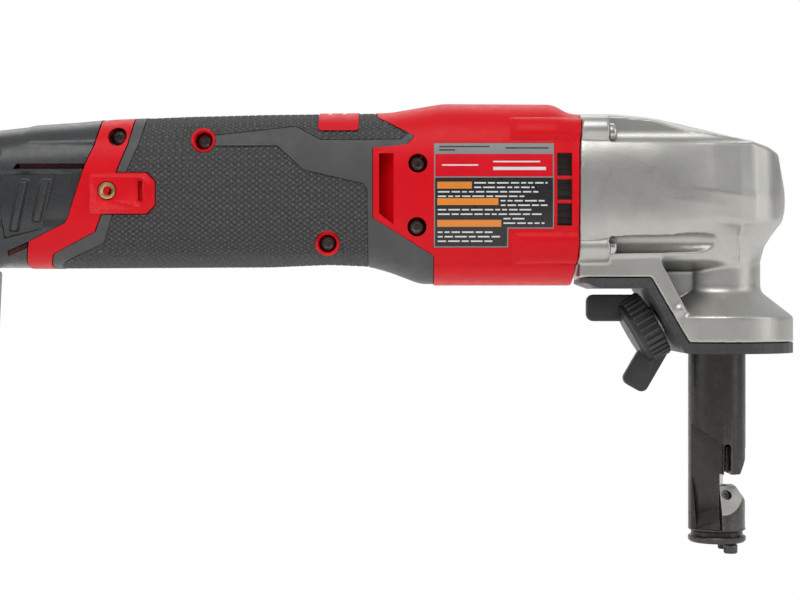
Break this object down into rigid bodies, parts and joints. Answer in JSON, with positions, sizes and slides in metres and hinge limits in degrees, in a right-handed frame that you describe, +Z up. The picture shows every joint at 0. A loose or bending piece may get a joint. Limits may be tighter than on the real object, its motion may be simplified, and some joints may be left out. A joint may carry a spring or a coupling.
{
  "type": "sheet-metal nibbler",
  "caption": "Cordless inline sheet-metal nibbler with a planetary gearcase, winged clamp knob, turning die holder and slide-in battery pack.",
  "frame": {"origin": "centre of the tool's bounding box at rest", "axes": "+X along the body from the battery to the gearcase, +Z up, -Y the side with the rating plate"},
  "size_m": [0.324, 0.06, 0.1615],
  "materials": {
    "red_plastic": "satin moulded red plastic",
    "grey_rubber": "matt dark grey overmould",
    "black_plastic": "matt black plastic",
    "dark_plastic": "semi-gloss dark grey plastic",
    "pale_plastic": "satin pale grey plastic",
    "label": "satin printed label",
    "cast_metal": "bead-blasted casting",
    "black_oxide": "oiled black oxide",
    "steel": "machined steel",
    "die_steel": "ground tool steel",
    "brass": "turned brass",
    "copper": "wound copper on laminations",
    "board_green": "coated circuit board",
    "cell_wrap": "shrink-wrapped cell"
  },
  "bodies": {
    "body": {"housing_right": "red_plastic", "housing_left": "red_plastic", "grip_right": "grey_rubber", "grip_left": "grey_rubber", "rating_plate": "label", "hanger_insert": "brass", "housing_screw_1": "black_oxide", "housing_screw_2": "black_oxide", "housing_screw_3": "black_oxide", "housing_screw_4": "black_oxide", "housing_screw_5": "black_oxide", "gearcase": "cast_metal", "gearcase_screw_1": "steel", "gearcase_screw_2": "steel", "gearcase_screw_3": "steel", "gearcase_screw_4": "steel", "clamp_plate": "black_plastic", "clamp_washer": "steel", "ram_guide": "brass", "ring_gear": "steel", "rear_bearing": "steel", "front_bearing": "steel", "stator": "copper", "motor_bearing_rear": "steel", "motor_bearing_front": "steel", "control_board": "board_green", "switch_module": "black_plastic", "terminal_block": "black_plastic"},
    "battery": {"battery_case": "dark_plastic", "battery_foot": "pale_plastic", "battery_cell_1": "cell_wrap", "battery_cell_2": "cell_wrap", "battery_cell_3": "cell_wrap", "battery_cell_4": "cell_wrap", "battery_cell_5": "cell_wrap", "battery_cell_6": "cell_wrap"},
    "latch_right": {"battery_latch_right": "black_plastic"},
    "latch_left": {"battery_latch_left": "black_plastic"},
    "slide": {"slide_switch": "black_plastic"},
    "crank": {"crankshaft": "steel", "crank_bearing": "steel", "planet_pin_1": "steel", "planet_pin_2": "steel", "planet_pin_3": "steel"},
    "planet_1": {"planet_gear_1": "steel"},
    "planet_2": {"planet_gear_2": "steel"},
    "planet_3": {"planet_gear_3": "steel"},
    "armature": {"rotor": "steel", "fan": "black_plastic", "sun_gear": "steel"},
    "ram": {"ram_yoke": "steel"},
    "die_head": {"die_holder": "black_oxide", "die": "die_steel", "die_screw": "steel", "die_bolt_1": "black_oxide", "die_bolt_2": "black_oxide"},
    "punch_body": {"punch": "steel"},
    "knob": {"clamp_knob": "black_plastic", "clamp_screw": "steel"}
  },
  "joints": [
    {"name": "crank_spin", "type": "hinge", "parent": "body", "child": "crank", "pos_m": [0.11495, 0, 0.04965], "axis": [1, 0, 0], "continuous": true},
    {"name": "rotor_spin", "type": "hinge", "parent": "body", "child": "armature", "pos_m": [0.05995, 0, 0.04965], "axis": [1, 0, 0], "continuous": true},
    {"name": "planet_1_spin", "type": "hinge", "parent": "crank", "child": "planet_1", "pos_m": [0.09295, 0.0108, 0.04965], "axis": [1, 0, 0], "continuous": true},
    {"name": "planet_2_spin", "type": "hinge", "parent": "crank", "child": "planet_2", "pos_m": [0.09295, -0.0054, 0.059], "axis": [1, 0, 0], "continuous": true},
    {"name": "planet_3_spin", "type": "hinge", "parent": "crank", "child": "planet_3", "pos_m": [0.09295, -0.0054, 0.0403], "axis": [1, 0, 0], "continuous": true},
    {"name": "ram_slide", "type": "slide", "parent": "body", "child": "ram", "axis": [0, 0, -1], "range_m": [0, 0.0054]},
    {"name": "die_turn", "type": "hinge", "parent": "body", "child": "die_head", "pos_m": [0.13495, 0, -0.05535], "axis": [0, 0, 1], "continuous": true},
    {"name": "punch_slide", "type": "slide", "parent": "die_head", "child": "punch_body", "axis": [0, 0, -1], "range_m": [0, 0.0054]},
    {"name": "clamp_knob_turn", "type": "hinge", "parent": "body", "child": "knob", "pos_m": [0.10835, 0, 0.00025], "axis": [-0.866, 0, -0.5], "range_deg": [0, 360]},
    {"name": "slide_switch_travel", "type": "slide", "parent": "body", "child": "slide", "axis": [1, 0, 0], "range_m": [0, 0.008]},
    {"name": "battery_pull", "type": "slide", "parent": "body", "child": "battery", "axis": [-1, 0, 0], "range_m": [0, 0.085]},
    {"name": "latch_right_press", "type": "slide", "parent": "battery", "child": "latch_right", "axis": [0, 1, 0], "range_m": [0, 0.0015], "stiffness_N_per_m": 600, "springref_m": -0.001},
    {"name": "latch_left_press", "type": "slide", "parent": "battery", "child": "latch_left", "axis": [0, -1, 0], "range_m": [0, 0.0015], "stiffness_N_per_m": 600, "springref_m": -0.001}
  ],
  "couplings": [
    {"joint": "rotor_spin", "follows": "crank_spin", "ratio": 6},
    {"joint": "planet_1_spin", "follows": "crank_spin", "ratio": -2.5},
    {"joint": "planet_2_spin", "follows": "crank_spin", "ratio": -2.5},
    {"joint": "planet_3_spin", "follows": "crank_spin", "ratio": -2.5},
    {"joint": "punch_slide", "follows": "ram_slide", "ratio": 1}
  ]
}
